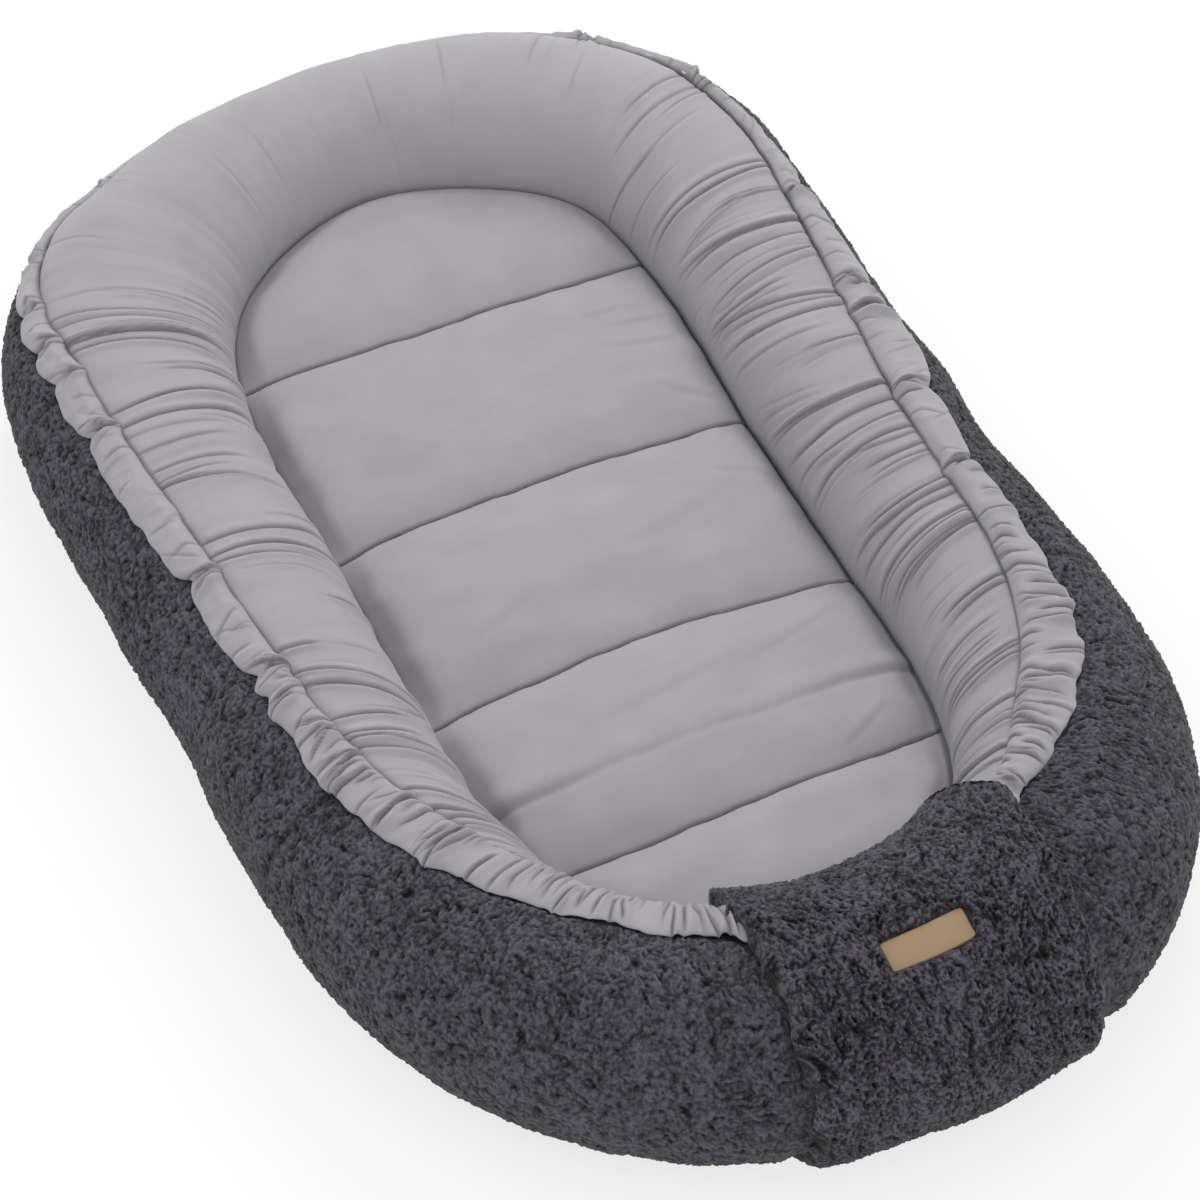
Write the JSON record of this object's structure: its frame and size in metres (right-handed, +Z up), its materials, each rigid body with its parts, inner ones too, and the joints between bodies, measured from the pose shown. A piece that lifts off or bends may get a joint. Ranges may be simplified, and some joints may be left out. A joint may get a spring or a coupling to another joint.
{
  "type": "infant lounger",
  "caption": "Padded baby nest: a soft bolster round a quilted mattress, with an elastic gathered rim and a foot flap that folds open.",
  "frame": {"origin": "under the middle of the whole object, on the surface that it lies on", "axes": "+Z up, +Y from the foot flap to the head, +X to the right when looking from foot to head"},
  "size_m": [0.5481, 0.935, 0.1417],
  "materials": {
    "cotton": "light grey plain-weave cotton, matt",
    "teddy": "dark grey curly teddy pile",
    "lining": "dark grey woven polyester",
    "leather": "tan imitation leather, fine grain",
    "filling": "white polyester fibre filling",
    "foam": "cream open-cell foam",
    "elastic": "white braided elastic",
    "tape": "dark grey hook and loop tape"
  },
  "bodies": {
    "root": {"base_sheet": "lining", "mattress_core": "foam", "channel_filling_1": "filling", "channel_filling_2": "filling", "channel_filling_3": "filling", "channel_filling_4": "filling", "channel_filling_5": "filling", "mattress_cover": "cotton", "bolster_filling": "filling", "bolster_liner": "cotton", "outer_cover": "teddy", "end_panel_right": "cotton", "end_panel_left": "cotton", "rim_casing": "cotton", "rim_elastic": "elastic", "flap_base": "teddy", "flap_base_lining": "lining", "loop_tape": "tape"},
    "foot_flap": {"flap_tongue": "teddy", "flap_tongue_lining": "lining", "hook_tape": "tape", "leather_patch": "leather"}
  },
  "joints": [
    {"name": "foot_flap_hinge", "type": "hinge", "parent": "root", "child": "foot_flap", "pos_m": [0.016, -0.4675, 0.0637], "axis": [1, 0, 0], "range_deg": [0, 150]}
  ]
}
